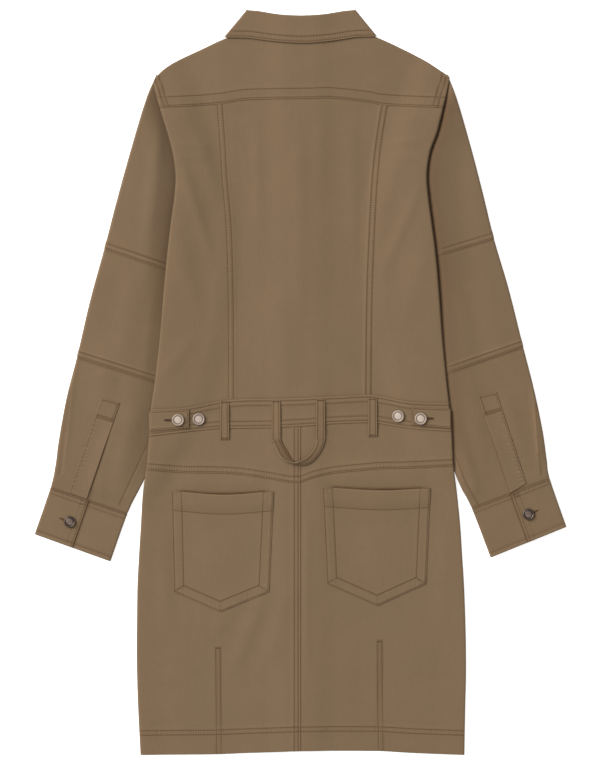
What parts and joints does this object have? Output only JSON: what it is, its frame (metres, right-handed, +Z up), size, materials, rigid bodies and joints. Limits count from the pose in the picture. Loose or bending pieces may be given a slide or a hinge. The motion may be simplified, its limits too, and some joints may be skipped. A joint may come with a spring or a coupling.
{
  "type": "shirt dress",
  "caption": "Long-sleeved knee-length shirt dress in brown twill with back pockets, side tabs and a hanging loop, laid flat back side up.",
  "frame": {"origin": "on the resting surface, under the middle of the garment's outline", "axes": "+Z up away from the surface, +Y towards the collar, +X to the right seen from above"},
  "size_m": [0.691, 0.9681, 0.0104],
  "materials": {
    "twill": "matt brushed cotton twill",
    "silver_button": "worn silver",
    "dark_button": "antique dark metal",
    "front_button": "satin horn brown"
  },
  "bodies": {
    "root": {"back_yoke": "twill", "side_back_left": "twill", "centre_back": "twill", "side_back_right": "twill", "back_waistband": "twill", "hip_yoke_left": "twill", "hip_yoke_right": "twill", "skirt_back_left": "twill", "skirt_back_right": "twill", "front_bodice_left": "twill", "front_bodice_right": "twill", "front_waistband_left": "twill", "front_waistband_right": "twill", "front_skirt_left": "twill", "front_skirt_right": "twill", "buttonhole_band": "twill", "button_band": "twill", "collar_fall": "twill", "collar_stand": "twill", "upper_sleeve_left": "twill", "elbow_panel_left": "twill", "lower_sleeve_left": "twill", "cuff_left": "twill", "upper_sleeve_right": "twill", "elbow_panel_right": "twill", "lower_sleeve_right": "twill", "cuff_right": "twill", "sleeve_placket_left": "twill", "sleeve_placket_right": "twill", "pocket_left": "twill", "pocket_right": "twill", "belt_loop_1": "twill", "belt_loop_2": "twill", "belt_loop_3": "twill", "belt_loop_4": "twill", "hanging_loop": "twill", "side_tab_left": "twill", "side_tab_right": "twill", "tab_button_left_outer": "silver_button", "tab_button_left_inner": "silver_button", "tab_button_right_inner": "silver_button", "tab_button_right_outer": "silver_button", "cuff_button_left": "dark_button", "cuff_button_right": "dark_button", "front_button_1": "front_button", "front_button_2": "front_button", "front_button_3": "front_button", "front_button_4": "front_button", "front_button_5": "front_button", "front_button_6": "front_button", "front_button_7": "front_button", "front_button_8": "front_button", "front_button_9": "front_button"}
  },
  "joints": []
}
